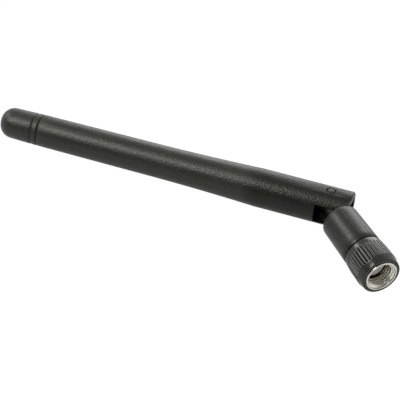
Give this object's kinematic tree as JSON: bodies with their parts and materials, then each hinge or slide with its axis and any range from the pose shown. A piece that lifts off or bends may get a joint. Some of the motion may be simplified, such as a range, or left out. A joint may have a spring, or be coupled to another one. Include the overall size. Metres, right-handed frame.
{
  "type": "swivel whip antenna",
  "caption": "Short black whip antenna that folds on a knuckle above an elbow with a freely turning knurled nut and a coaxial socket plug.",
  "frame": {"origin": "centre of the plug's mating face, on the axis of the coupling thread", "axes": "+X out of the nut's mouth along the coupling thread, +Z along the knuckle's pivot pins, with the whip folded towards -Y"},
  "size_m": [0.0822, 0.069, 0.01],
  "materials": {
    "whip_plastic": "fine moulded grain",
    "cap_plastic": "fine moulded grain",
    "elbow_plastic": "fine moulded grain",
    "pin_plastic": "smooth moulded",
    "collar_plastic": "semi-gloss moulded",
    "nickel": "nickel plated brass",
    "gilt_brass": "gold plated brass",
    "brass": "drawn brass",
    "solder": "bright solder",
    "spring_steel": "bright spring wire",
    "tinned_braid": "tinned copper braid",
    "silvered_wire": "silver plated copper",
    "cable_jacket": "black jacket",
    "white_insulation": "white fluoropolymer",
    "shrink_tube": "black shrink tube",
    "spacer_foam": "white spacer",
    "soft_rubber": "soft black rubber",
    "silicone": "red silicone"
  },
  "bodies": {
    "elbow": {"elbow_housing": "elbow_plastic", "upper_pivot_pin": "pin_plastic", "lower_pivot_pin": "pin_plastic", "connector_body": "gilt_brass", "contact_insulator": "white_insulation", "centre_contact": "gilt_brass", "retaining_ring": "spring_steel", "gasket": "silicone", "crimp_ferrule": "nickel", "elbow_cable_jacket": "cable_jacket", "elbow_cable_braid": "tinned_braid", "elbow_cable_insulation": "white_insulation", "elbow_cable_core": "silvered_wire", "knuckle_cable": "cable_jacket"},
    "whip": {"radome": "whip_plastic", "tip_cap": "cap_plastic", "cable_grommet": "soft_rubber", "whip_cable_jacket": "cable_jacket", "whip_cable_braid": "tinned_braid", "whip_cable_insulation": "white_insulation", "whip_cable_core": "silvered_wire", "dipole_sleeve": "brass", "sleeve_solder": "solder", "feed_bead": "white_insulation", "feed_shrink": "shrink_tube", "upper_radiator": "brass", "lower_spacer": "spacer_foam", "upper_spacer": "spacer_foam"},
    "coupling": {"coupling_nut": "nickel", "nut_jacket": "collar_plastic"}
  },
  "joints": [
    {"name": "whip_tilt", "type": "hinge", "parent": "elbow", "child": "whip", "pos_m": [-0.0226, 0, 0], "axis": [0, 0, 1], "range_deg": [-48, 42], "deforming": ["knuckle_cable"]},
    {"name": "nut_spin", "type": "hinge", "parent": "elbow", "child": "coupling", "pos_m": [-0.0015, 0, 0], "axis": [1, 0, 0], "continuous": true}
  ]
}
